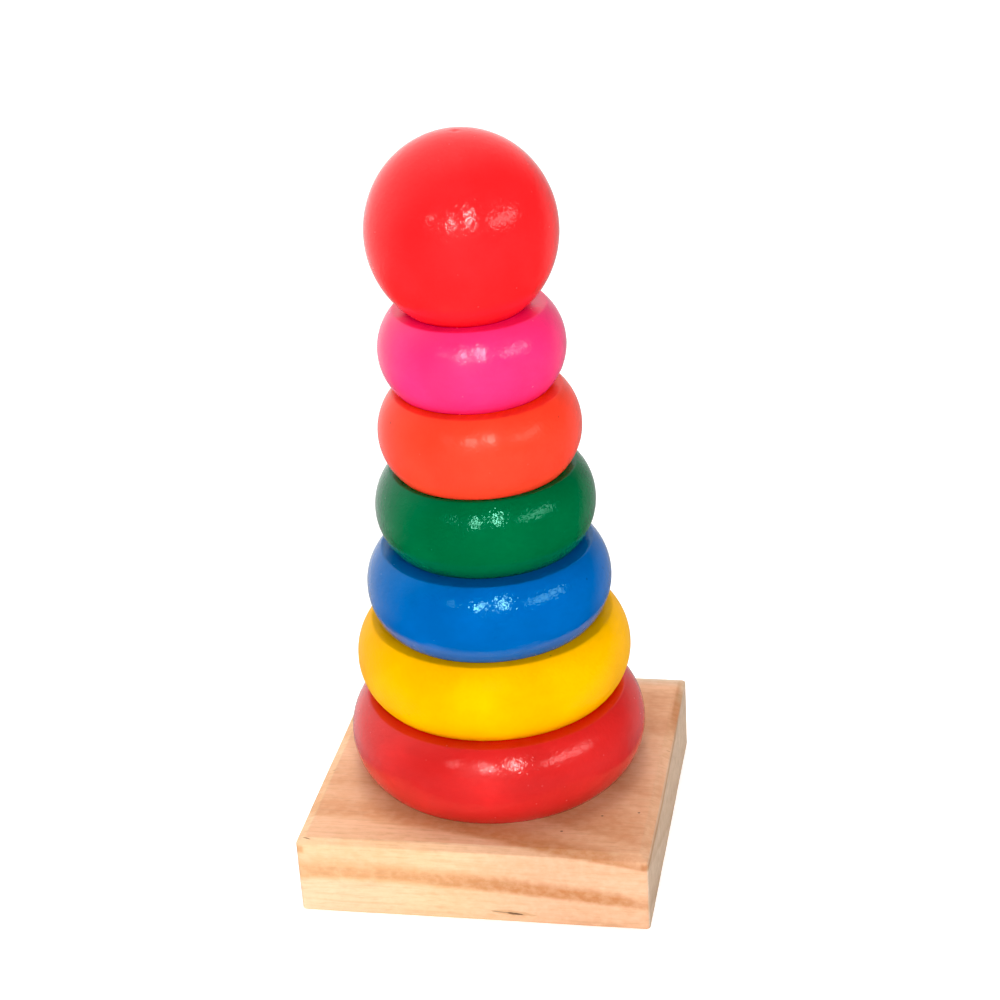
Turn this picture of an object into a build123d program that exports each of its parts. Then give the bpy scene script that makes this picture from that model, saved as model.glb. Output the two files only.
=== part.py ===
from build123d import *

import math
import os

# Stacking ring toy: a square block with a dowel glued upright in it, loose rings that shrink towards
# the top, and a ball that caps the dowel. Millimetres, +Z up. The origin is the centre of the
# underside of the block.

# Base block, with a wide shallow bevel that is mitred at the corners
BASE_SIDE = 100.0
BASE_HEIGHT = 23.5
BEVEL_RUN = 2.8
BEVEL_DROP = 1.1
BASE_EDGE_RADIUS = 0.4

# Dowel
POST_DIAMETER = 12.0
POST_SOCKET_DEPTH = 16.0
POST_REACH_INTO_BALL = 22.0
POST_END_ROUNDING = 1.5
POST_FOOT_CHAMFER = 1.0
GLUE_LINE = 0.05

# Rings. The outside of each is one arc, turned with the same tool, between two flat faces.
RING_BORE = 17.0
RING_ARC_RADIUS = 16.6
RING_FACE_ROUNDING = 2.0
RING_BORE_ROUNDING = 1.5

# Bottom to top: name, outer diameter, height, and how far off the dowel's axis the loose ring lies
RINGS = [
    ("ring_red", 86.1, 24.6, (0.2, 0.6)),
    ("ring_yellow", 79.3, 23.5, (-0.1, 2.2)),
    ("ring_blue", 69.9, 23.5, (0.2, 0.1)),
    ("ring_green", 62.4, 23.5, (0.3, 1.3)),
    ("ring_orange", 56.8, 23.5, (0.4, -0.5)),
    ("ring_pink", 51.9, 23.5, (-0.6, 0.6)),
]

# Ball: slightly taller than wide, with a flat seat around a blind hole
BALL_WIDTH = 52.4
BALL_HEIGHT = 54.6
BALL_SEAT_BELOW_CENTRE = 21.5
BALL_HOLE = 15.5
BALL_HOLE_DEPTH = 25.0
BALL_HOLE_ROUNDING = 1.0
BALL_OFFSET = (-1.1, -0.8)
DRILL_POINT_ANGLE = 118.0


def base_block():
    """Square block with bevelled top edges and a blind socket for the dowel."""
    ground = (Align.CENTER, Align.CENTER, Align.MIN)
    block = Box(BASE_SIDE, BASE_SIDE, BASE_HEIGHT, align=ground)
    top = block.faces().sort_by(Axis.Z)[-1]
    block = chamfer(top.edges(), BEVEL_RUN, BEVEL_DROP, reference=top)
    uprights = block.edges().filter_by(Axis.Z)
    block = fillet(uprights, BASE_EDGE_RADIUS)
    socket_floor = BASE_HEIGHT - POST_SOCKET_DEPTH
    socket_radius = POST_DIAMETER / 2 + GLUE_LINE
    socket = Pos(0, 0, socket_floor) * Cylinder(socket_radius, POST_SOCKET_DEPTH, align=ground)
    return block - socket


def post():
    """Dowel from the floor of its socket to inside the ball."""
    stack_height = sum(height for _, _, height, _ in RINGS)
    length = POST_SOCKET_DEPTH + stack_height + POST_REACH_INTO_BALL
    dowel = Cylinder(POST_DIAMETER / 2, length, align=(Align.CENTER, Align.CENTER, Align.MIN))
    ends = dowel.edges().filter_by(GeomType.CIRCLE).sort_by(Axis.Z)
    dowel = chamfer(ends[0], POST_FOOT_CHAMFER)
    ends = dowel.edges().filter_by(GeomType.CIRCLE).sort_by(Axis.Z)
    dowel = fillet(ends[-1], POST_END_ROUNDING)
    return Pos(0, 0, BASE_HEIGHT - POST_SOCKET_DEPTH) * dowel


def ring(outer_diameter, height):
    """Turned ring standing on Z = 0: arc outside, flat faces, softened edges at face and bore."""
    outer = outer_diameter / 2
    bore = RING_BORE / 2
    half = height / 2
    face_edge = outer - RING_ARC_RADIUS + math.sqrt(RING_ARC_RADIUS**2 - half**2)
    outside = ThreePointArc((face_edge, 0), (outer, half), (face_edge, height))
    rest = Polyline((face_edge, height), (bore, height), (bore, 0), (face_edge, 0))
    profile = make_face(outside + rest)
    corners = profile.vertices().sort_by(Axis.X)
    profile = fillet(corners[:2], RING_BORE_ROUNDING)
    corners = profile.vertices().sort_by(Axis.X)
    profile = fillet(corners[-2:], RING_FACE_ROUNDING)
    return revolve(Plane.XZ * profile, Axis.Z)


def ball():
    """Turned ball standing on Z = 0 on its flat seat, with a drilled blind hole up from the seat."""
    wide = BALL_WIDTH / 2
    tall = BALL_HEIGHT / 2
    seat_angle = math.degrees(math.asin(BALL_SEAT_BELOW_CENTRE / tall))
    sweep = seat_angle + 90
    seat_radius = wide * math.cos(math.radians(seat_angle))
    hole = BALL_HOLE / 2
    point = hole / math.tan(math.radians(DRILL_POINT_ANGLE / 2))
    centre = (0, BALL_SEAT_BELOW_CENTRE)
    outside = EllipticalCenterArc(centre, wide, tall, start_angle=-seat_angle, arc_size=sweep)
    rest = Polyline(
        (0, BALL_SEAT_BELOW_CENTRE + tall),
        (0, BALL_HOLE_DEPTH + point),
        (hole, BALL_HOLE_DEPTH),
        (hole, 0),
        (seat_radius, 0),
    )
    profile = make_face(outside + rest)
    mouth = profile.vertices().sort_by_distance((hole, 0))[0]
    profile = fillet(mouth, BALL_HOLE_ROUNDING)
    return revolve(Plane.XZ * profile, Axis.Z)


os.makedirs("parts", exist_ok=True)

export_step(base_block(), "parts/base.step")
export_step(post(), "parts/post.step")

level = BASE_HEIGHT
for name, outer_diameter, height, (x, y) in RINGS:
    export_step(Pos(x, y, level) * ring(outer_diameter, height), f"parts/{name}.step")
    level += height

ball_x, ball_y = BALL_OFFSET
export_step(Pos(ball_x, ball_y, level) * ball(), "parts/ball.step")
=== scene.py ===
import math

import bpy
from mathutils import Matrix, Vector, noise


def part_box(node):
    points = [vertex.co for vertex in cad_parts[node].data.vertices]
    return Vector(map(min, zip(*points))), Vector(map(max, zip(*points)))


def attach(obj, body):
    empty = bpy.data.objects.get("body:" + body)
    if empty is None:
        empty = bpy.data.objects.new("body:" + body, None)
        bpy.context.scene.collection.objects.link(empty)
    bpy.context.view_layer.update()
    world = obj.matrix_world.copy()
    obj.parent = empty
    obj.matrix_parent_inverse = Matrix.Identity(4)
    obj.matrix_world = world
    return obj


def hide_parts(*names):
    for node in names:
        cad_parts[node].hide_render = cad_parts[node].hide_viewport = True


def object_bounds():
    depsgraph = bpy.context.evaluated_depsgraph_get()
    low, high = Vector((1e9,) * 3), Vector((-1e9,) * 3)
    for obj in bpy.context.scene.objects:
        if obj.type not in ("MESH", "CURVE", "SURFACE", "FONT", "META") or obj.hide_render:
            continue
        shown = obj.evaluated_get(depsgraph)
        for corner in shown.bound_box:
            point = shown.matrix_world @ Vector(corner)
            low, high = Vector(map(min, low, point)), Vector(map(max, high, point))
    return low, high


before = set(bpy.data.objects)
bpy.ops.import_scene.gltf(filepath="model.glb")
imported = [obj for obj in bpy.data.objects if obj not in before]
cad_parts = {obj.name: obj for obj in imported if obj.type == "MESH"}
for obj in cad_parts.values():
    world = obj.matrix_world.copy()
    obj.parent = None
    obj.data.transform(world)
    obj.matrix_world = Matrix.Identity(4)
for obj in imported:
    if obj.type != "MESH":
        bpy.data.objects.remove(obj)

# Stacking ring toy: a square block of pine with a dowel glued upright in it, six loose painted rings
# and a painted ball. Metres, +Z up, with the front towards -Y. The origin is the centre of the
# underside of the block. Places, widths and heights come from the pieces in model.glb.

MM = 0.001
CAD_LOW, CAD_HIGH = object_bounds()
HEIGHT = CAD_HIGH.z - CAD_LOW.z
RINGS = ["ring_red", "ring_yellow", "ring_blue", "ring_green", "ring_orange", "ring_pink"]

# ---------------------------------------------------------------- shapes that the CAD pieces share
RING_ARC_RADIUS = 16.6 * MM
RING_BORE_RADIUS = 8.5 * MM
RING_BORE_ROUNDING = 1.5 * MM
BALL_SEAT_BELOW_CENTRE = 21.5 * MM
BALL_HOLE_RADIUS = 7.75 * MM
BALL_HOLE_DEPTH = 25.0 * MM
BALL_HOLE_ROUNDING = 1.0 * MM
BASE_BEVEL_RUN = 2.8 * MM
BASE_BEVEL_DROP = 1.1 * MM
POST_RADIUS = 6.0 * MM
POST_END_ROUNDING = 1.5 * MM
POST_FOOT_CHAMFER = 1.0 * MM
GLUE_LINE = 0.05 * MM

# ---------------------------------------------------------------- finer shapes of the real pieces
RING_FACE_ROUNDING = 0.9 * MM
BASE_CREASE_ROUNDING = 0.45 * MM
BASE_UPRIGHT_ROUNDING = 1.2 * MM
SOCKET_MOUTH_CHAMFER = 0.3 * MM
SOCKET_MOUTH_DEPTH = 3 * MM
# The drill's point goes this many hole radii deeper than the hole
BALL_DRILL_POINT = 0.6
# The lathe's centre left a shallow dimple at the very top of the ball.
DIMPLE_RADIUS = 1.5 * MM
DIMPLE_DEPTH = 0.35 * MM
# Hair's breadth of air left at each face on which a turned piece rests
CONTACT_GAP = 0.02 * MM
# How deep hand-held sanding has left each piece uneven, and about how wide its patches are
PAINTED_SANDING = 0.10 * MM
POST_SANDING = 0.05 * MM
BASE_SANDING = 0.12 * MM
TURNED_PATCH_ACROSS = 14 * MM
TURNED_PATCH_UP = 12 * MM
BASE_PATCH = 11 * MM
# Which stretch of the uneven pattern a piece takes. Each ring's is its number from the bottom.
BALL_SEED = 11
POST_SEED = 21
# Depth inside a bore over which the paint runs out
PAINT_FADE = 4 * MM

# ---------------------------------------------------------------- fineness of the meshes
TURNED_SEGMENTS = 224
ROUNDING_STEPS = 6
RING_ARC_STEPS = 40
RING_FACE_STEPS = 14
RING_BORE_STEPS = 20
BALL_STEPS = 110
BALL_HOLE_STEPS = 16
BALL_LIP_STEPS = 5
BALL_SEAT_STEPS = 8
POST_STEPS = 150
POST_CHAMFER_STEPS = 3
BASE_SIDE_STEPS = 150
BASE_CORNER_STEPS = 8
BASE_TOP_LOOPS = 24
BASE_BEVEL_LOOPS = 5
BASE_SIDE_LOOPS = 30
BASE_UNDERSIDE_LOOPS = 12
# The block's loops turn from circles into squares over this distance from the socket.
BASE_ROUND_REACH = 30 * MM
# Degrees between the points of a circle that a loop's corner shrinks into
BASE_CORNER_FAN = 0.001


# ================================================================ node helpers
class Nodes:
    """The node tree of a material or a world, with short ways to add and join its nodes."""

    def __init__(self, tree, shader):
        self.tree = tree
        self.shader = tree.nodes[shader]

    def add(self, kind, inputs=None, **settings):
        node = self.tree.nodes.new(kind)
        for key, value in settings.items():
            setattr(node, key, value)
        for key, value in (inputs or {}).items():
            self.feed(node.inputs[key], value)
        return node

    def feed(self, socket, value):
        """Joins another node's output to a socket, or sets the socket to a constant."""
        if isinstance(value, bpy.types.NodeSocket):
            self.tree.links.new(value, socket)
        elif socket.type == "RGBA":
            socket.default_value = (*value, 1.0)
        else:
            socket.default_value = value

    def set(self, name, value):
        """Feeds one of the shader's own sockets."""
        self.feed(self.shader.inputs[name], value)

    def math(self, operation, *values):
        return self.add("ShaderNodeMath", dict(enumerate(values)), operation=operation).outputs[0]

    def chain(self, operation, first, *others):
        """One operation over several values: their sum, product or maximum."""
        for other in others:
            first = self.math(operation, first, other)
        return first

    def vector(self, operation, *values):
        node = self.add("ShaderNodeVectorMath", dict(enumerate(values)), operation=operation)
        return node.outputs["Value" if operation in ("LENGTH", "DOT_PRODUCT") else "Vector"]

    def parts(self, vector):
        """The X, Y and Z of a vector."""
        return self.add("ShaderNodeSeparateXYZ", {"Vector": vector}).outputs

    def here(self, centre=(0, 0, 0), stretch=(1, 1, 1), turn=0.0):
        """Object position about a centre, turned about Z and then stretched."""
        place = self.add("ShaderNodeTexCoord").outputs["Object"]
        moved = self.vector("SUBTRACT", place, tuple(centre))
        if turn:
            inputs = {"Vector": moved, "Angle": turn}
            moved = self.add("ShaderNodeVectorRotate", inputs, rotation_type="Z_AXIS").outputs[0]
        return self.vector("MULTIPLY", moved, tuple(stretch))

    def noise(self, place, scale, detail=2.0, roughness=0.5, distortion=0.0):
        inputs = {
            "Vector": place,
            "Scale": scale,
            "Detail": detail,
            "Roughness": roughness,
            "Distortion": distortion,
        }
        return self.add("ShaderNodeTexNoise", inputs).outputs[0]

    def grain(self, stretch, detail=2.0, roughness=0.5):
        """Noise stretched along the piece: a smaller number in stretch is a longer pattern."""
        return self.noise(self.here(stretch=stretch), 1.0, detail, roughness)

    def sway(self, pattern, amount):
        """A pattern from 0 to 1, made to swing about zero over amount."""
        return self.math("MULTIPLY", self.math("SUBTRACT", pattern, 0.5), amount)

    def span(self, value, low, high, to_low=0.0, to_high=1.0, smooth=True):
        """value from low..high mapped to to_low..to_high and held there outside."""
        inputs = {"Value": value, 1: low, 2: high, 3: to_low, 4: to_high}
        kind = "SMOOTHSTEP" if smooth else "LINEAR"
        return self.add("ShaderNodeMapRange", inputs, interpolation_type=kind).outputs[0]

    def mix(self, share, first, second, blend="MIX"):
        inputs = {0: share, 6: first, 7: second}
        return self.add("ShaderNodeMix", inputs, data_type="RGBA", blend_type=blend).outputs[2]

    def tinted(self, share, colour, tint):
        """The colour, multiplied by the tint to the extent of share."""
        return self.mix(share, colour, self.mix(1.0, colour, tint, blend="MULTIPLY"))

    def specks(self, place, scale, size, share):
        """Round specks: one in a part, share, of the cells of a scattered pattern."""
        inputs = {"Vector": place, "Scale": scale, "Randomness": 1.0}
        cells = self.add("ShaderNodeTexVoronoi", inputs).outputs
        draw = self.add("ShaderNodeSeparateColor", {"Color": cells["Color"]}).outputs[0]
        chosen = self.math("LESS_THAN", draw, share)
        return self.math("MULTIPLY", self.span(cells["Distance"], size, size * 0.4), chosen)

    def bump(self, heights):
        """A chain of bumps: (height, depth in metres) pairs, coarsest first."""
        normal = None
        for height, depth in heights:
            node = self.add("ShaderNodeBump", {"Height": height, "Distance": depth, "Strength": 1.0})
            if normal is not None:
                self.feed(node.inputs["Normal"], normal)
            normal = node.outputs[0]
        self.set("Normal", normal)


def new_material(name):
    material = bpy.data.materials.new(name)
    material.use_nodes = True
    return material, Nodes(material.node_tree, "Principled BSDF")


def shade(colour, factor):
    return tuple(min(1.0, c * factor) for c in colour)


# ================================================================ paint and dowel
# Linear colour, roughness, specular level and the tint of its highlights
PAINT = {
    "ring_red": ((0.64, 0.023, 0.022), 0.150, 0.60, (1.0, 0.72, 0.70)),
    "ring_yellow": ((0.98, 0.455, 0.001), 0.440, 0.10, (1.0, 0.86, 0.42)),
    "ring_blue": ((0.001, 0.115, 0.42), 0.110, 0.49, (0.33, 1.0, 1.0)),
    "ring_green": ((0.001, 0.128, 0.041), 0.130, 0.50, (0.30, 1.0, 0.72)),
    "ring_orange": ((0.95, 0.056, 0.026), 0.210, 0.36, (1.0, 0.60, 0.50)),
    "ring_pink": ((0.95, 0.034, 0.180), 0.170, 0.66, (1.0, 0.70, 0.85)),
    "ball": ((0.92, 0.020, 0.023), 0.115, 0.54, (1.0, 0.60, 0.60)),
}
PAINT_IOR = 1.40
BARE_ROUGHNESS = 0.7
# Specks: how fine the scatter is, their size in it, and the share of its cells that hold one
DARK_SPECKS = (330.0, 0.16, 0.030)
PALE_SPECKS = (240.0, 0.13, 0.015)
PITS = (520.0, 0.22, 0.050)
# The coarse and the fine waves of the orange peel, and the grain of the paint itself
COARSE_PEEL_SCALE, COARSE_PEEL_DEPTH = 300.0, 0.050 * MM
PEEL_SCALE, PEEL_DEPTH = 1000.0, 0.088 * MM
PAINT_GRAIN_SCALE, PAINT_GRAIN_DEPTH = 2100.0, 0.003 * MM
PAINTED_FIBRE_DEPTH = 0.010 * MM
PIT_DEPTH = 0.02 * MM
DOWEL_FIBRE_DEPTH = 0.03 * MM
BARE_DEEP, BARE_LIGHT = (0.62, 0.40, 0.21), (0.80, 0.58, 0.36)
DOWEL_FLECK = (0.42, 0.22, 0.10)
DOWEL_CLOUD = (0.55, 0.34, 0.18)
DOWEL_END_LIGHT, DOWEL_END_DARK = (0.52, 0.33, 0.18), (0.36, 0.20, 0.095)


def bare_wood_colour(n, place):
    """Pale turned wood with fine fibre lines, for bores and the dowel."""
    fibre = n.noise(place, 1.0, detail=4.0, roughness=0.6)
    return n.mix(n.span(fibre, 0.3, 0.7), BARE_DEEP, BARE_LIGHT)


def paint_material(name, centre, grain_turn):
    """Gloss paint on turned wood: orange peel, wood fibres showing through, specks and pits."""
    colour, shine, level, tint = PAINT[name]
    material, n = new_material(name + "_paint")
    place = n.here(centre)

    # The wood under the paint runs across the piece, so its fibres show as faint streaks.
    fibres = n.here(centre, (60, 900, 900), grain_turn)
    fibre = n.noise(fibres, 1.0, detail=3.0, roughness=0.55)
    cloud = n.noise(place, 45.0, detail=3.0)
    dark_specks = n.specks(place, *DARK_SPECKS)
    pits = n.specks(place, *PITS)
    # Stretched a little upwards, so that the pale specks fall apart from the dark ones
    pale_specks = n.specks(n.here(centre, (1, 1, 1.01)), *PALE_SPECKS)

    painted = n.mix(n.span(cloud, 0.3, 0.7), shade(colour, 0.86), shade(colour, 1.06))
    painted = n.mix(n.span(fibre, 0.35, 0.75, 0.0, 0.10), painted, shade(colour, 0.62))
    painted = n.mix(n.math("MULTIPLY", dark_specks, 0.55), painted, shade(colour, 0.25))
    pale = tuple(c * 0.6 + 0.35 for c in colour)
    painted = n.mix(n.math("MULTIPLY", pale_specks, 0.55 * level), painted, pale)

    # The paint ends raggedly inside the bore.
    bare = n.add("ShaderNodeAttribute", attribute_name="bare").outputs["Fac"]
    bare = n.span(n.math("ADD", bare, n.sway(cloud, 0.8)), 0.42, 0.58)
    n.set("Base Color", n.mix(bare, painted, bare_wood_colour(n, fibres)))

    rough = n.span(n.noise(place, 160.0, detail=3.0), 0.3, 0.7, shine - 0.02, shine + 0.04)
    rough = n.math("ADD", rough, n.math("MULTIPLY", pits, 0.2))
    n.set("Roughness", n.span(bare, 0.0, 1.0, rough, BARE_ROUGHNESS))
    n.set("IOR", PAINT_IOR)
    n.set("Specular IOR Level", level)
    n.set("Specular Tint", tint)

    hollow = n.math("MULTIPLY", n.math("ADD", pits, dark_specks), -1.0)
    n.bump([
        (n.noise(place, COARSE_PEEL_SCALE, detail=1.0), COARSE_PEEL_DEPTH),
        (n.noise(place, PEEL_SCALE, detail=1.0, roughness=0.45, distortion=0.7), PEEL_DEPTH),
        (fibre, PAINTED_FIBRE_DEPTH),
        (n.noise(place, PAINT_GRAIN_SCALE, detail=2.0), PAINT_GRAIN_DEPTH),
        (hollow, PIT_DEPTH),
    ])
    return material


def dowel_material(name, top):
    """Sanded dowel: straight fibres along Z, short flecks, and end grain on top."""
    material, n = new_material(name)
    along = n.here(stretch=(900, 900, 28))
    flecks = n.specks(n.here(stretch=(1, 1, 0.16)), 900.0, 0.2, 0.22)
    cloud = n.grain((60, 60, 14), detail=3.0)
    colour = bare_wood_colour(n, along)
    colour = n.mix(n.math("MULTIPLY", flecks, 0.5), colour, DOWEL_FLECK)
    colour = n.mix(n.span(cloud, 0.35, 0.75, 0.0, 0.30), colour, DOWEL_CLOUD)

    # Year rings on the end, about the heart of the log that the dowel was split from
    heart = n.here(centre=(18 * MM, 11 * MM, 0), stretch=(1, 1, 0))
    years = n.math("FRACT", n.math("MULTIPLY", n.vector("LENGTH", heart), 620.0))
    z = n.parts(n.here())[2]
    end = n.span(z, top - 0.6 * MM, top - 0.1 * MM)
    end_colour = n.mix(n.span(years, 0.3, 0.95), DOWEL_END_LIGHT, DOWEL_END_DARK)
    n.set("Base Color", n.mix(end, colour, end_colour))

    fibre = n.noise(along, 1.0, detail=3.0)
    n.set("Roughness", n.span(fibre, 0.3, 0.7, 0.48, 0.64))
    n.bump([
        (fibre, DOWEL_FIBRE_DEPTH),
        (n.math("MULTIPLY", flecks, -1.0), DOWEL_FIBRE_DEPTH),
    ])
    return material


# ================================================================ pine
# Growth layers of the block's board: depth in the layers in millimetres, and how dark the wood is
# there. Each summer's dark wood ends sharply below and fades upwards.
LAYER_DARKNESS = [
    (-5.0, 0.00),
    (2.0, 0.16),
    (4.5, 0.02),
    (10.2, 0.03),
    (11.8, 0.95),
    (14.2, 0.88),
    (17.2, 0.06),
    (26.2, 0.02),
    (27.4, 0.95),
    (29.4, 0.75),
    (31.5, 0.25),
    (33.2, 0.20),
    (34.2, 0.62),
    (38.0, 0.45),
    (40.5, 0.06),
    (43.4, 0.03),
    (44.4, 0.42),
    (48.0, 0.05),
    (57.0, 0.03),
    (59.0, 0.60),
    (66.0, 0.50),
    (69.0, 0.03),
]
LAYER_LOW, LAYER_HIGH = -5.0, 80.0

PALE_PINE_DEEP, PALE_PINE_LIGHT = (0.79, 0.475, 0.255), (0.87, 0.560, 0.325)
PINE_FIBRE = (0.50, 0.26, 0.11)
PINE_FLECK = (0.50, 0.26, 0.12)
PINE_THREAD = (0.48, 0.27, 0.13)
PINE_MOTTLE = (0.98, 0.74, 0.50)
RESIN_DUCT = (0.36, 0.17, 0.06)
# Sawn ends: partly their own greyer colour, partly painted sheen of the pale surroundings at a grazing
# angle
SAWN_END_SHEEN_DEEP, SAWN_END_SHEEN_LIGHT = (0.565, 0.420, 0.292), (0.690, 0.530, 0.392)
SAWN_PORE = (0.40, 0.26, 0.16)
SAWN_LAYER = (0.45, 0.28, 0.15)
PITCH_HALO_COLOUR = (0.45, 0.22, 0.07)
SPLIT_COLOUR = (0.24, 0.10, 0.035)
DARK_MARK = (0.085, 0.040, 0.018)
# What the wood's colour is multiplied by in each place
SUMMER_TINT = (0.70, 0.47, 0.265)
PALE_CORNER_TINT = (1.02, 1.13, 1.30)
TANNED_TINT = (0.86, 0.76, 0.80)
# Painted shade: the flat top made darker, as less light falls on it than on the sides
TOP_SHADE_TINT = (0.91, 0.85, 0.87)
BACK_CORNER_DARK_TINT = (0.89, 0.84, 0.78)
# Painted sheen: the back edge and the side bevels near the back made paler, as where they catch the
# light
BACK_EDGE_SHEEN_TINT = (0.91, 1.18, 1.40)
END_LINE_TINT = (0.78, 0.62, 0.46)

PINE_FIBRE_DEPTH = 0.035 * MM
PINE_FLECK_DEPTH = 0.020 * MM
SAW_MARK_DEPTH = 0.06 * MM
PINE_MARK_DEPTH = 0.12 * MM

# Pitch streak on the front: the X and Z of each layer's centre, half its length and half its width
PITCH_HALO = ((11.0 * MM, 3.1 * MM), 8.0 * MM, 1.10 * MM)
PITCH_LINE = ((9.0 * MM, 3.1 * MM), 6.4 * MM, 0.15 * MM)
PITCH_CORE = ((11.6 * MM, 2.9 * MM), 3.1 * MM, 0.40 * MM)
PITCH_DIP = 0.075
# Split at the near left corner: its centre inward from the corner, and its size
SPLIT_INWARD = (3.0 * MM, 2.0 * MM)
SPLIT_HALF_LENGTH, SPLIT_HALF_WIDTH = 1.5 * MM, 0.24 * MM
SPLIT_DIP = 0.25
# Dark specks on the flat top: X and Y, and radii along them
TOP_SPECKS = [
    (24.3 * MM, -38.4 * MM, 0.30 * MM, 0.24 * MM),
    (34.6 * MM, -29.7 * MM, 0.28 * MM, 0.22 * MM),
    (44.7 * MM, -27.2 * MM, 0.28 * MM, 0.22 * MM),
]


def blot(n, place, centre, radii, warp):
    """Ragged oval stain at a point: 1 inside, fading to 0 outside."""
    apart = n.vector("SUBTRACT", place, centre)
    scaled = n.vector("DIVIDE", apart, radii)
    reach = n.math("ADD", n.vector("LENGTH", scaled), n.math("MULTIPLY", warp, 0.9))
    return n.span(reach, 1.5, 0.9)


def lens(n, along, across, centre, half_length, half_width, dip, warp):
    """Thin streak with pointed ends at a centre, dipping by dip per unit along: 1 inside, 0 outside."""
    offset = n.math("SUBTRACT", along, centre[0])
    drop = n.math("ADD", n.math("SUBTRACT", across, centre[1]), n.math("MULTIPLY", offset, dip))
    reach = n.math("POWER", n.math("ABSOLUTE", n.math("DIVIDE", offset, half_length)), 2.0)
    width = n.math("ABSOLUTE", n.math("DIVIDE", drop, half_width))
    inside = n.math("SUBTRACT", 1.0, n.math("ADD", reach, width))
    return n.span(n.math("ADD", inside, n.math("MULTIPLY", warp, 1.4)), 0.0, 0.45)


def growth_layers(n, x, y, z, front, patchy):
    """How dark the growth layers are at a place: they dip to the right and rise to the back."""
    bow = n.math("MULTIPLY", n.math("POWER", n.math("ADD", x, 25 * MM), 2.0), 0.93)
    twist = n.math("MULTIPLY", n.math("MULTIPLY", x, n.math("SUBTRACT", z, 10 * MM)), 4.4)
    rise = n.math("MULTIPLY", n.math("SUBTRACT", y, front), 0.42)
    wander = n.sway(n.grain((14, 34, 34)), 1.8 * MM)
    fine_wander = n.sway(n.grain((40, 260, 260), detail=3.0), 1.6 * MM)
    depth = n.chain("ADD", z, bow, twist, rise, wander, fine_wander)

    share = n.span(depth, LAYER_LOW * MM, LAYER_HIGH * MM, smooth=False)
    ramp = n.add("ShaderNodeValToRGB", {"Fac": share})
    elements = ramp.color_ramp.elements
    elements.remove(elements[0])
    for i, (level, darkness) in enumerate(LAYER_DARKNESS):
        place = (level - LAYER_LOW) / (LAYER_HIGH - LAYER_LOW)
        element = elements[0] if i == 0 else elements.new(place)
        element.position = place
        element.color = (darkness, darkness, darkness, 1.0)

    # Fainter in patches, towards the left, and close to the right end
    in_patches = n.span(patchy, 0.25, 0.60, 0.70, 1.0)
    to_the_left = n.span(x, -50 * MM, 26 * MM, 0.64, 1.12, smooth=False)
    at_the_end = n.span(x, 41 * MM, 50 * MM, 1.0, 0.55)
    return n.chain("MULTIPLY", ramp.outputs["Color"], in_patches, to_the_left, at_the_end)


def layered_wood(n, x, z, late, cloud, on_top):
    """Pale wood with its growth layers, palest low at the left and tanned towards the right."""
    pale = n.mix(n.span(cloud, 0.3, 0.7), PALE_PINE_DEEP, PALE_PINE_LIGHT)
    wood = n.tinted(late, pale, SUMMER_TINT)
    pale_corner = n.math("MULTIPLY", n.span(x, 0.0, -40 * MM), n.span(z, 12 * MM, 9.5 * MM))
    wood = n.tinted(pale_corner, wood, PALE_CORNER_TINT)
    less_on_top = n.span(on_top, 0, 1, 1.0, 0.45)
    tanned = n.math("MULTIPLY", n.span(x, -18 * MM, 26 * MM), less_on_top)
    return n.tinted(tanned, wood, TANNED_TINT)


def fibrous_wood(n, wood, fibre, fleck, ducts):
    """The wood with brown fibres, flecks and threads, pale mottling and resin ducts."""
    thread = n.grain((60, 2400, 2400))
    mottle = n.grain((330, 420, 420), detail=3.0, roughness=0.6)
    wood = n.mix(n.span(fibre, 0.45, 0.80, 0.0, 0.40), wood, PINE_FIBRE)
    wood = n.mix(n.span(fleck, 0.48, 0.75, 0.0, 0.30), wood, PINE_FLECK)
    wood = n.mix(n.span(thread, 0.5, 0.8, 0.0, 0.22), wood, PINE_THREAD)
    wood = n.mix(n.span(mottle, 0.35, 0.70, 0.0, 0.16), wood, PINE_MOTTLE)
    return n.mix(n.math("MULTIPLY", ducts, 0.5), wood, RESIN_DUCT)


def top_shade_and_sheen(n, wood, x, y, z, top, on_top, patchy):
    """Painted shade: the flat top is made darker than the sides and the bevel, as less light
    falls on it. Painted sheen: the bevel along the back edge and the side bevels near the back are
    made paler, as where they catch the light. The top is also darker near its back corners."""
    # Painted shade on the flat top
    wood = n.tinted(on_top, wood, TOP_SHADE_TINT)
    raised = n.span(z, top - 1.3 * MM, top - 1.0 * MM)
    ragged = n.sway(patchy, 6 * MM)
    back = n.math("ADD", y, ragged)
    aside = n.math("ADD", n.math("ABSOLUTE", x), ragged)

    towards_back = n.span(back, 4 * MM, 24 * MM)
    before_bevel = n.span(back, 43.0 * MM, 38.5 * MM)
    towards_sides = n.span(aside, 30 * MM, 41 * MM)
    darker_back_corners = n.chain("MULTIPLY", towards_back, before_bevel, towards_sides, raised)
    wood = n.tinted(darker_back_corners, wood, BACK_CORNER_DARK_TINT)

    # Painted sheen: paler along the back edge and on the side bevels near the back
    back_corner = n.math("MULTIPLY", n.span(aside, 47 * MM, 49 * MM), n.span(back, 28 * MM, 40 * MM))
    back_edge_sheen = n.math("MAXIMUM", n.span(back, 41.5 * MM, 48.0 * MM), back_corner)
    return n.tinted(n.math("MULTIPLY", back_edge_sheen, raised), wood, BACK_EDGE_SHEEN_TINT)


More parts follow.
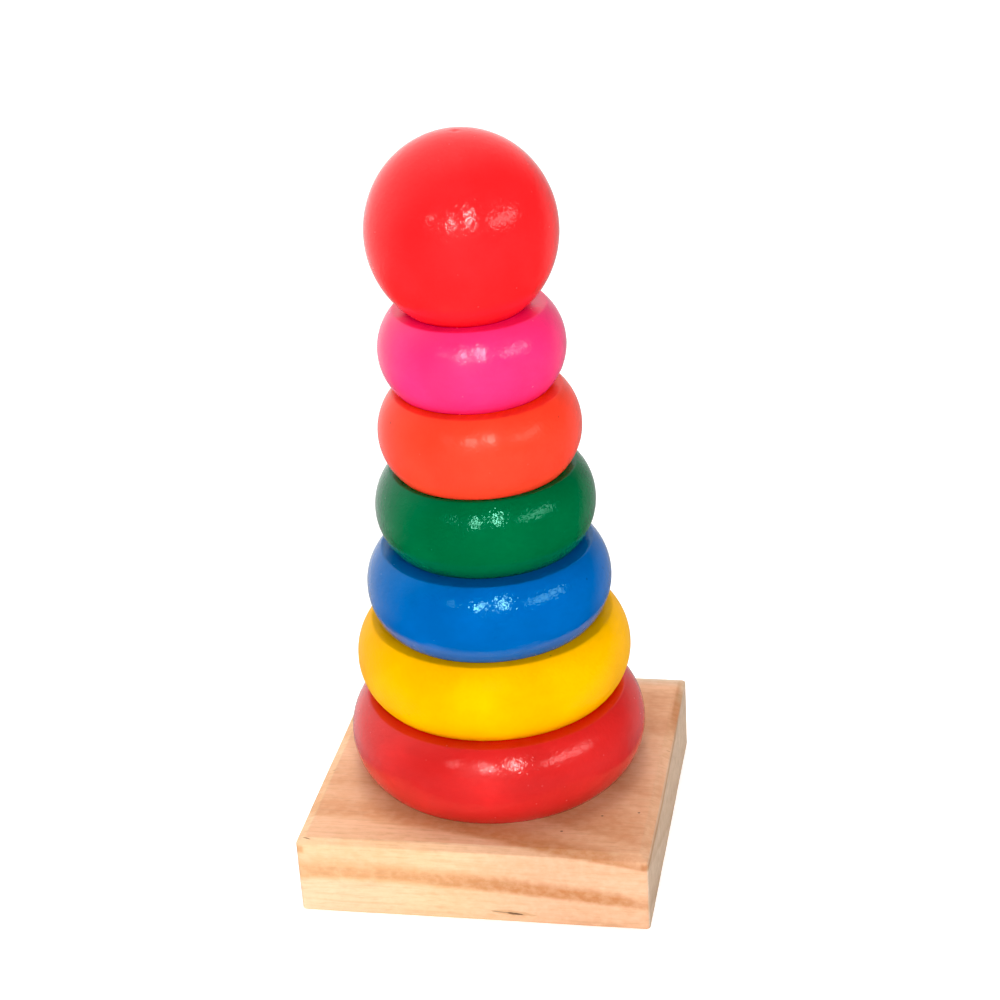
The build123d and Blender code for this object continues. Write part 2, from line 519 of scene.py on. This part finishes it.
def sawn_ends_and_sheen(n, wood, x, y, z, high, end, saw, late, cloud):
    """The wood with its sawn ends, which are greyer: partly the end grain's own colour, partly
    painted sheen of the pale surroundings at a grazing angle. The grey begins at a thin brown line
    a few millimetres under the top, which rises towards the back."""
    pores = n.noise(n.here(), 1500.0, detail=2.0, roughness=0.6)
    grey = n.mix(n.span(saw, 0.25, 0.75), SAWN_END_SHEEN_DEEP, SAWN_END_SHEEN_LIGHT)
    grey = n.mix(n.span(pores, 0.45, 0.75, 0.0, 0.30), grey, SAWN_PORE)
    grey = n.mix(n.math("MULTIPLY", late, 0.45), grey, SAWN_LAYER)

    rise = n.math("POWER", n.math("ADD", y, 20 * MM), 2.0)
    line_height = n.chain("ADD", rise, high.z - 3.7 * MM, n.sway(cloud, 2.2 * MM))
    under_line = n.math("SUBTRACT", line_height, z)
    greyed = n.math("MULTIPLY", end, n.span(under_line, -0.3 * MM, 0.9 * MM))
    # Painted sheen, with the end grain's own colour: the sawn ends made greyer
    wood = n.mix(n.math("MULTIPLY", end, 0.45), wood, grey)
    wood = n.mix(n.math("MULTIPLY", greyed, 0.72), wood, grey)

    on_line = n.span(n.math("ABSOLUTE", under_line), 1.8 * MM, 0.3 * MM)
    beside = n.span(n.math("ABSOLUTE", x), high.x - 2.6 * MM, high.x - 1.6 * MM)
    return n.tinted(n.chain("MULTIPLY", on_line, beside, 0.90), wood, END_LINE_TINT)


def marked_wood(n, wood, x, y, z, low, top):
    """The wood with a thin dark pitch streak low on the front, a split at the near left corner and
    specks on the top. Returns its colour, the dark marks and the split."""
    warp = n.math("SUBTRACT", n.grain((500, 900, 900)), 0.5)
    on_front = n.span(y, low.y + 1.2 * MM, low.y + 0.6 * MM)
    halo, line, core = (
        n.math("MULTIPLY", lens(n, x, z, *streak, PITCH_DIP, warp), on_front)
        for streak in (PITCH_HALO, PITCH_LINE, PITCH_CORE)
    )
    corner = (low.x + SPLIT_INWARD[0], low.y + SPLIT_INWARD[1])
    split = lens(n, x, y, corner, SPLIT_HALF_LENGTH, SPLIT_HALF_WIDTH, SPLIT_DIP, warp)
    split = n.math("MULTIPLY", split, n.span(z, top - 1.2 * MM, top - 1.0 * MM))
    place = n.here()
    specks = [
        blot(n, place, (at_x, at_y, top), (wide, deep, 1 * MM), warp)
        for at_x, at_y, wide, deep in TOP_SPECKS
    ]
    marks = n.chain("MAXIMUM", core, n.math("MULTIPLY", line, 0.6), n.chain("MAXIMUM", *specks))
    wood = n.mix(n.math("MULTIPLY", halo, 0.40), wood, PITCH_HALO_COLOUR)
    wood = n.mix(n.math("MULTIPLY", split, 0.85), wood, SPLIT_COLOUR)
    wood = n.mix(n.math("MULTIPLY", marks, 0.85), wood, DARK_MARK)
    return wood, marks, split


def pine_material(name, low, high):
    """Flat-sawn pine: wide growth layers, fine fibres, sawn end grain at +X and -X, small marks."""
    material, n = new_material(name)
    x, y, z = n.parts(n.here())
    top = high.z
    patchy = n.grain((26, 60, 60))
    cloud = n.grain((18, 40, 60), detail=3.0)
    fibre = n.grain((45, 900, 900), detail=4.0, roughness=0.62)
    fleck = n.grain((260, 1300, 1300), detail=3.0, roughness=0.6)
    saw = n.grain((300, 260, 420), detail=3.0)
    ducts = n.specks(n.here(stretch=(0.10, 1, 1)), 420.0, 0.15, 0.07)
    late = growth_layers(n, x, y, z, low.y, patchy)
    on_top = n.span(z, top - 0.35 * MM, top - 0.10 * MM)
    facing = n.parts(n.add("ShaderNodeNewGeometry").outputs["True Normal"])[0]
    end = n.span(n.math("ABSOLUTE", facing), 0.6, 0.8)

    wood = layered_wood(n, x, z, late, cloud, on_top)
    wood = fibrous_wood(n, wood, fibre, fleck, ducts)
    # Painted shade on the flat top and painted sheen along the back edge
    wood = top_shade_and_sheen(n, wood, x, y, z, top, on_top, patchy)
    # Painted sheen, with their own greyer colour, on the sawn ends
    wood = sawn_ends_and_sheen(n, wood, x, y, z, high, end, saw, late, cloud)
    wood, marks, split = marked_wood(n, wood, x, y, z, low, top)
    n.set("Base Color", wood)

    rough = n.span(fibre, 0.3, 0.7, 0.48, 0.62)
    n.set("Roughness", n.span(end, 0.0, 1.0, rough, 0.72))
    n.set("Specular IOR Level", 0.30)
    sunk = n.chain("MAXIMUM", marks, split, ducts)
    n.bump([
        (fibre, PINE_FIBRE_DEPTH),
        (fleck, PINE_FLECK_DEPTH),
        (n.math("MULTIPLY", saw, end), SAW_MARK_DEPTH),
        (n.math("MULTIPLY", sunk, -1.0), PINE_MARK_DEPTH),
    ])
    return material


# ================================================================ meshes
def arc(centre, radius, start, end, steps):
    """Points of an arc in the (radius, z) plane, from start to end in degrees."""
    points = []
    for i in range(steps + 1):
        angle = math.radians(start + (end - start) * i / steps)
        points.append((centre[0] + radius * math.cos(angle), centre[1] + radius * math.sin(angle)))
    return points


def line(start, end, steps):
    """Points of a straight run, without its end."""
    return [
        tuple(a + (b - a) * i / steps for a, b in zip(start, end, strict=True))
        for i in range(steps)
    ]


def without_repeats(points):
    """A closed outline's points, less those that repeat the one before."""
    kept = []
    for point in points:
        if not kept or math.dist(kept[-1], point) > 1e-7:
            kept.append(point)
    if math.dist(kept[0], kept[-1]) < 1e-7:
        kept.pop()
    return kept


def new_object(name, points, faces, material):
    mesh = bpy.data.meshes.new(name)
    mesh.from_pydata(points, [], faces)
    mesh.materials.append(material)
    item = bpy.data.objects.new(name, mesh)
    bpy.context.scene.collection.objects.link(item)
    return item


def new_piece(name, points, faces, material, body, node):
    """Smooth piece that rides on a body and stands for a CAD node."""
    piece = new_object(name, points, faces, material)
    piece.data.validate()
    for polygon in piece.data.polygons:
        polygon.use_smooth = True
    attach(piece, body)
    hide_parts(node)
    return piece


def turned(profile, centre, seed, uneven, closed):
    """Points and faces of a turned piece. profile is (radius, z) points; an open profile starts and
    ends on the axis. The surface is pulled in by up to uneven, as hand-held sanding leaves it."""
    inner = profile if closed else profile[1:-1]
    points, faces = [], []
    count = TURNED_SEGMENTS
    for radius, z in inner:
        for i in range(count):
            angle = 2 * math.pi * i / count
            across = Vector((math.cos(angle), math.sin(angle), 0))
            spot = across * (radius / TURNED_PATCH_ACROSS)
            spot += Vector((seed * 7.3, seed * 3.1, z / TURNED_PATCH_UP))
            pull = uneven * (0.5 + 0.5 * noise.noise(spot))
            points.append(centre + across * (radius - pull) + Vector((0, 0, z)))
    rows = len(inner)
    for row in range(rows if closed else rows - 1):
        for i in range(count):
            after = (i + 1) % count
            below, above = row * count, ((row + 1) % rows) * count
            faces.append((below + i, below + after, above + after, above + i))
    if not closed:
        points.append(centre + Vector((0, 0, profile[0][1])))
        points.append(centre + Vector((0, 0, profile[-1][1])))
        first, last = len(points) - 2, len(points) - 1
        top_row = (rows - 1) * count
        for i in range(count):
            after = (i + 1) % count
            faces.append((first, after, i))
            faces.append((last, top_row + i, top_row + after))
    return points, faces


def mark_bare(piece, centre, reach, depth_at):
    """Stores how bare of paint each vertex is, from 0 to 1. Only a bore is bare, within reach of its
    axis, and depth_at gives how far inside the bore's lip a point is."""
    values = []
    for vertex in piece.data.vertices:
        apart = vertex.co - centre
        bare = 0.0
        if math.hypot(apart.x, apart.y) <= reach:
            bare = min(1.0, max(0.0, depth_at(apart) / PAINT_FADE))
        values.append(bare)
    piece.data.attributes.new("bare", "FLOAT", "POINT").data.foreach_set("value", values)


def ring_profile(outer, half):
    """Closed outline of a ring about its mid height, anticlockwise from the bore's bottom end."""
    rounding = RING_FACE_ROUNDING
    reach = RING_ARC_RADIUS - rounding
    rise = half - rounding
    across = math.sqrt(reach**2 - rise**2)
    meet = math.degrees(math.atan2(rise, across))
    shoulder = outer - RING_ARC_RADIUS + across
    bore, lip = RING_BORE_RADIUS, RING_BORE_ROUNDING
    points = line((bore + lip, -half), (shoulder, -half), RING_FACE_STEPS)
    points += arc((shoulder, -rise), rounding, -90, -meet, ROUNDING_STEPS)
    points += arc((outer - RING_ARC_RADIUS, 0), RING_ARC_RADIUS, -meet, meet, RING_ARC_STEPS)
    points += arc((shoulder, rise), rounding, meet, 90, ROUNDING_STEPS)
    points += line((shoulder, half), (bore + lip, half), RING_FACE_STEPS)
    points += arc((bore + lip, half - lip), lip, 90, 180, ROUNDING_STEPS)
    points += line((bore, half - lip), (bore, lip - half), RING_BORE_STEPS)
    points += arc((bore + lip, lip - half), lip, 180, 270, ROUNDING_STEPS)
    return without_repeats(points)


def make_ring(node, number):
    low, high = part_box(node)
    centre = (low + high) / 2
    outer = (high.x - low.x) / 2
    half = (high.z - low.z) / 2 - CONTACT_GAP
    seed = number + 1
    profile = ring_profile(outer, half)
    points, faces = turned(profile, centre, seed, PAINTED_SANDING, closed=True)
    material = paint_material(node, centre, grain_turn=0.4 + 1.1 * number)
    piece = new_piece(node + "_turned", points, faces, material, node, node)

    def depth_at(apart):
        return half - abs(apart.z) - RING_BORE_ROUNDING

    mark_bare(piece, centre, RING_BORE_RADIUS + 0.5 * RING_BORE_ROUNDING, depth_at)


def ball_profile(wide, tall, seat, tip):
    """Open outline of the ball about its centre, from the hole's tip down, out and up to the top."""
    hole, lip = BALL_HOLE_RADIUS, BALL_HOLE_ROUNDING
    hole_end = BALL_HOLE_DEPTH - BALL_SEAT_BELOW_CENTRE
    seat_angle = math.degrees(math.asin(seat / tall))
    outside = []
    for i in range(BALL_STEPS):
        angle = math.radians(seat_angle + (90 - seat_angle) * i / BALL_STEPS)
        radius, z = wide * math.cos(angle), tall * math.sin(angle)
        if z > tall * 0.9 and radius < DIMPLE_RADIUS:
            z -= DIMPLE_DEPTH * (1 - (radius / DIMPLE_RADIUS) ** 2) ** 2
        outside.append((radius, z))
    points = [(0.0, tip), (hole * 0.5, (tip + hole_end) / 2)]
    points += line((hole, hole_end), (hole, seat + lip), BALL_HOLE_STEPS)
    points += arc((hole + lip, seat + lip), lip, 180, 270, BALL_LIP_STEPS)
    points += line((hole + lip, seat), outside[0], BALL_SEAT_STEPS)
    points += outside
    points.append((0.0, tall - DIMPLE_DEPTH))
    return points


def make_ball():
    low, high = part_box("ball")
    centre = Vector(((low.x + high.x) / 2, (low.y + high.y) / 2, low.z + BALL_SEAT_BELOW_CENTRE))
    wide = (high.x - low.x) / 2
    tall = high.z - centre.z
    seat = -BALL_SEAT_BELOW_CENTRE + CONTACT_GAP
    tip = BALL_HOLE_DEPTH - BALL_SEAT_BELOW_CENTRE + BALL_HOLE_RADIUS * BALL_DRILL_POINT
    profile = ball_profile(wide, tall, seat, tip)
    points, faces = turned(profile, centre, BALL_SEED, PAINTED_SANDING, closed=False)
    material = paint_material("ball", centre, grain_turn=0.9)
    piece = new_piece("ball_turned", points, faces, material, "ball", "ball")

    def depth_at(apart):
        above_hole = apart.z > tip + 0.5 * MM
        return 0.0 if above_hole else apart.z - seat - BALL_HOLE_ROUNDING

    mark_bare(piece, centre, BALL_HOLE_RADIUS + 0.5 * BALL_HOLE_ROUNDING, depth_at)


def make_post():
    low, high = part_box("post")
    centre = Vector(((low.x + high.x) / 2, (low.y + high.y) / 2, 0))
    radius, rounding, chamfer = POST_RADIUS, POST_END_ROUNDING, POST_FOOT_CHAMFER
    profile = [(0.0, low.z), (radius * 0.5, low.z)]
    profile += line((radius - chamfer, low.z), (radius, low.z + chamfer), POST_CHAMFER_STEPS)
    profile += line((radius, low.z + chamfer), (radius, high.z - rounding), POST_STEPS)
    profile += arc((radius - rounding, high.z - rounding), rounding, 0, 90, ROUNDING_STEPS)
    profile += [(radius * 0.5, high.z), (0.0, high.z)]
    points, faces = turned(profile, centre, POST_SEED, POST_SANDING, closed=False)
    material = dowel_material("dowel_wood", high.z)
    piece = new_piece("post_dowel", points, faces, material, "base", "post")


def base_profile(side, top):
    """Outline of the block from its socket's mouth out over the top and down to near the middle of
    the underside: half of a loop's side, its height, and its roundness from 0 square to 1 circle."""
    hole, chamfer = POST_RADIUS + GLUE_LINE, SOCKET_MOUTH_CHAMFER
    profile = [
        (hole, top - SOCKET_MOUTH_DEPTH, 1.0),
        (hole, top - chamfer, 1.0),
        (hole + chamfer, top, 1.0),
    ]
    flat = side - BASE_BEVEL_RUN
    for i in range(1, BASE_TOP_LOOPS):
        half = hole + chamfer + (flat - hole - chamfer) * i / BASE_TOP_LOOPS
        profile.append((half, top, max(0.0, 1.0 - (half - hole) / BASE_ROUND_REACH)))

    # Softened creases: top face to bevel, bevel to side, side to underside
    edge = BASE_CREASE_ROUNDING
    slope = math.degrees(math.atan2(BASE_BEVEL_DROP, BASE_BEVEL_RUN))
    tilt = math.radians(slope)
    crease = edge * math.tan(tilt / 2)
    meet = edge * math.tan(math.radians(90 - slope) / 2)
    shoulder = top - BASE_BEVEL_DROP - meet
    bevel_end = (side - meet * math.cos(tilt), top - BASE_BEVEL_DROP + meet * math.sin(tilt))
    outside = arc((flat - crease, top - edge), edge, 90, 90 - slope, 3)
    outside += line(outside[-1], bevel_end, BASE_BEVEL_LOOPS)[1:]
    outside += arc((side - edge, shoulder), edge, 90 - slope, 0, 5)
    outside += line((side, shoulder), (side, edge), BASE_SIDE_LOOPS)[1:]
    outside += arc((side - edge, edge), edge, 0, -90, 4)
    profile += [(half, z, 0.0) for half, z in outside]

    for i in range(1, BASE_UNDERSIDE_LOOPS):
        share = i / BASE_UNDERSIDE_LOOPS
        profile.append(((side - edge) * (1 - share) + 1 * MM * share, 0.0, 0.0))
    return profile


def base_loop(half, z, roundness):
    """One loop of the block: half its side, its height, and 0 for a square up to 1 for a circle."""
    corner = min(BASE_UPRIGHT_ROUNDING, half * 0.3)
    straight = half - corner
    # Each square point and the direction, in degrees, of the circle's point that it turns into
    quarter = []
    for i in range(BASE_SIDE_STEPS):
        t = -1 + 2 * i / BASE_SIDE_STEPS
        quarter.append((Vector((half, straight * t, 0)), 45 * t))
    for i in range(BASE_CORNER_STEPS):
        angle = math.radians(90 * i / BASE_CORNER_STEPS)
        bend = Vector((math.cos(angle), math.sin(angle), 0)) * corner
        quarter.append((Vector((straight, straight, 0)) + bend, 45 + BASE_CORNER_FAN * i))

    points = []
    for number in range(4):
        turn = Matrix.Rotation(math.radians(90 * number), 3, "Z")
        for square, degrees in quarter:
            angle = math.radians(degrees)
            circle = Vector((half * math.cos(angle), half * math.sin(angle), 0))
            points.append(turn @ square.lerp(circle, roundness) + Vector((0, 0, z)))
    return points


def sanded(point, centre):
    """A point of the block, pulled in by the uneven sanding."""
    pull = BASE_SANDING * (0.5 + 0.5 * noise.noise(point / BASE_PATCH))
    inward = centre - point
    inward.z *= 2.0
    return point + inward.normalized() * pull


def make_base():
    """The block as nested loops: square ones outside that turn into circles round the dowel."""
    low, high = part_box("base")
    profile = base_profile((high.x - low.x) / 2, high.z)
    points, faces = [], []
    for half, z, roundness in profile:
        points += base_loop(half, z, roundness)
    count = 4 * (BASE_SIDE_STEPS + BASE_CORNER_STEPS)
    for row in range(len(profile) - 1):
        for i in range(count):
            after = (i + 1) % count
            here, there = row * count, (row + 1) * count
            faces.append((here + i, there + i, there + after, here + after))

    # Close the underside and the floor of the socket's mouth
    points.append(Vector((0, 0, 0)))
    points.append(Vector((0, 0, high.z - SOCKET_MOUTH_DEPTH)))
    under, floor = len(points) - 2, len(points) - 1
    last = (len(profile) - 1) * count
    for i in range(count):
        after = (i + 1) % count
        faces.append((under, last + after, last + i))
        faces.append((floor, i, after))

    centre = (low + high) / 2
    points = [sanded(point, centre) for point in points]
    material = pine_material("pine_base", low, high)
    piece = new_piece("base_block", points, faces, material, "base", "base")


# ================================================================ stage
# Angles in degrees. Azimuth 0 looks along +Y, with +X to the right.
CAMERA_AZIMUTH = 11.63
CAMERA_ELEVATION = 25.39
CAMERA_ROLL = -3.55
CAMERA_DISTANCE = 0.6462
CAMERA_SIDE_STEP = 4.6 * MM
CAMERA_LENS = 82.8
# Each bright wall of the room: direction, strength, and the cosine of the angle off that direction
# where its glow begins. It is full from the cosine WALL_CORE inwards.
BRIGHT_WALLS = [((-0.60, 0.67, 0.43), 1.15, 0.0), ((0.39, 0.89, -0.25), 0.48, 0.78)]
WALL_CORE = 0.95
ROOM_LIGHT = 0.07
# Heights, on a sphere of radius 1 about the object, between which the room darkens downwards
DARK_BELOW, BRIGHT_ABOVE = -0.68, -0.36
DARK_SHARE = 0.12
ROOM_RADIUS = 9.0
ROOM_HEIGHT = 7.0
ROOM_SIDES = 64
BLACK_LEVEL = 0.008
BACKDROP_GLOW = 1.1
STUDIO_DEEP, STUDIO_LIGHT = (0.86, 0.86, 0.86), (0.90, 0.90, 0.895)
LIGHT_DISTANCE = 2.4


def toward(azimuth, elevation):
    """Unit vector from the object to a viewer at that azimuth and elevation."""
    azimuth, elevation = math.radians(azimuth), math.radians(elevation)
    flat = math.cos(elevation)
    return Vector((math.sin(azimuth) * flat, -math.cos(azimuth) * flat, math.sin(elevation)))


def make_camera():
    back = toward(CAMERA_AZIMUTH, CAMERA_ELEVATION)
    level = toward(CAMERA_AZIMUTH + 90, 0)
    up = back.cross(level)
    roll = math.radians(CAMERA_ROLL)
    right = level * math.cos(roll) + up * math.sin(roll)
    top = up * math.cos(roll) - level * math.sin(roll)
    data = bpy.data.cameras.new("camera")
    data.lens = CAMERA_LENS
    data.sensor_width = 36.0
    data.clip_start = 0.01
    data.clip_end = 50
    camera = bpy.data.objects.new("camera", data)
    bpy.context.scene.collection.objects.link(camera)
    target = Vector((0, 0, CAD_LOW.z + HEIGHT / 2))
    place = target + back * CAMERA_DISTANCE + right * CAMERA_SIDE_STEP
    turn = Matrix((right, top, back)).transposed().to_4x4()
    camera.matrix_world = Matrix.Translation(place) @ turn
    bpy.context.scene.camera = camera


def panel(name, turn, elevation, size, power, gloss, distance=LIGHT_DISTANCE):
    """Rectangular light aimed at the object, turn degrees to the right of the camera. It acts on
    gloss alone, or on the matt part of surfaces alone."""
    data = bpy.data.lights.new(name, "AREA")
    data.shape = "RECTANGLE"
    data.size, data.size_y = size
    data.energy = power
    light = bpy.data.objects.new(name, data)
    bpy.context.scene.collection.objects.link(light)
    direction = toward(CAMERA_AZIMUTH + turn, elevation)
    light.location = Vector((0, 0, HEIGHT / 2)) + direction * distance
    light.rotation_mode = "QUATERNION"
    light.rotation_quaternion = direction.to_track_quat("Z", "Y")
    light.visible_camera = False
    light.visible_glossy = gloss
    light.visible_diffuse = not gloss


def make_lights():
    # Window panes beside the viewer, which the gloss paint mirrors as a broken row of highlights
    panel("pane_main", 11, 28, (0.095, 0.85), 20.6, gloss=True)
    panel("pane_left", -11, 25, (0.10, 0.60), 12.8, gloss=True)
    panel("pane_far_right", 54, 20, (1.6, 0.40), 13.2, gloss=True)
    panel("pane_far_left", -38, 27, (0.12, 0.24), 1.8, gloss=True)
    # Soft light from the same side, and a wide soft ceiling with one small lamp in it
    panel("key_right", 11, 28, (0.095, 0.64), 17, gloss=False)
    panel("key_left", -12, 25, (0.10, 0.42), 10, gloss=False)
    panel("side_fill", 50, 36, (0.34, 0.30), 4, gloss=False)
    panel("front_fill", -12, 15, (1.8, 1.0), 19, gloss=False, distance=2.2)
    panel("ceiling", -178, 74, (1.7, 1.7), 16, gloss=False, distance=2.0)
    panel("ceiling_lamp", -178, 77, (0.28, 0.28), 6, gloss=False, distance=1.9)


def make_room_light():
    """Dim room with bright walls behind the object, dark below the floor's horizon."""
    world = bpy.data.worlds.new("studio")
    world.use_nodes = True
    n = Nodes(world.node_tree, "Background")
    direction = n.add("ShaderNodeTexCoord").outputs["Generated"]
    glows = [
        n.span(n.vector("DOT_PRODUCT", direction, wall), start, WALL_CORE, ROOM_LIGHT, strength)
        for wall, strength, start in BRIGHT_WALLS
    ]
    above = n.span(n.parts(direction)[2], DARK_BELOW, BRIGHT_ABOVE, DARK_SHARE, 1.0)
    n.set("Color", (1.0, 1.0, 1.0))
    n.set("Strength", n.math("MULTIPLY", n.chain("MAXIMUM", *glows), above))
    bpy.context.scene.world = world


def studio_material(name, cloud_scale, detail):
    """Plain pale matt surface with a barely seen unevenness."""
    material, n = new_material(name)
    cloud = n.noise(n.here(), cloud_scale, detail=detail)
    n.set("Base Color", n.mix(cloud, STUDIO_DEEP, STUDIO_LIGHT))
    n.set("Roughness", n.span(cloud, 0.3, 0.7, 0.75, 0.85))
    n.set("Emission Color", (1.0, 1.0, 1.0))
    return material, n


def floor_material():
    """Pale floor that grows as bright as the backdrop towards its rim."""
    material, n = studio_material("pale_floor", 3.0, 4.0)
    n.set("Specular IOR Level", 0.2)
    distance = n.vector("LENGTH", n.here())
    n.set("Emission Strength", n.span(distance, 0.9, 3.5, 0.40, BACKDROP_GLOW))
    return material


def backdrop_material():
    """Pale backdrop, evenly bright."""
    material, n = studio_material("pale_wall", 0.6, 3.0)
    n.set("Emission Strength", BACKDROP_GLOW)
    return material


def make_surroundings():
    """Round floor with an upright backdrop along its rim."""
    count = ROOM_SIDES
    around = [2 * math.pi * i / count for i in range(count)]
    ground = CAD_LOW.z
    rim = [Vector((ROOM_RADIUS * math.cos(a), ROOM_RADIUS * math.sin(a), ground)) for a in around]
    sectors = [(0, 1 + i, 1 + (i + 1) % count) for i in range(count)]
    floor = new_object("floor", [Vector((0, 0, ground))] + rim, sectors, floor_material())
    floor.visible_glossy = False

    # The backdrop is only seen, so that the room's light comes through it.
    upper = [point + Vector((0, 0, ROOM_HEIGHT)) for point in rim]
    strips = [(i, count + i, count + (i + 1) % count, (i + 1) % count) for i in range(count)]
    backdrop = new_object("backdrop", rim + upper, strips, backdrop_material())
    backdrop.visible_glossy = False
    backdrop.visible_diffuse = False
    backdrop.visible_shadow = False


def set_tones():
    """Plain tones, with whatever is darker than the black level turned black."""
    view = bpy.context.scene.view_settings
    view.view_transform = "Standard"
    view.use_curve_mapping = True
    view.curve_mapping.black_level = (BLACK_LEVEL, BLACK_LEVEL, BLACK_LEVEL)
    view.curve_mapping.update()


set_tones()
make_camera()
make_room_light()
make_surroundings()
make_lights()
for number, node in enumerate(RINGS):
    make_ring(node, number)
make_ball()
make_post()
make_base()
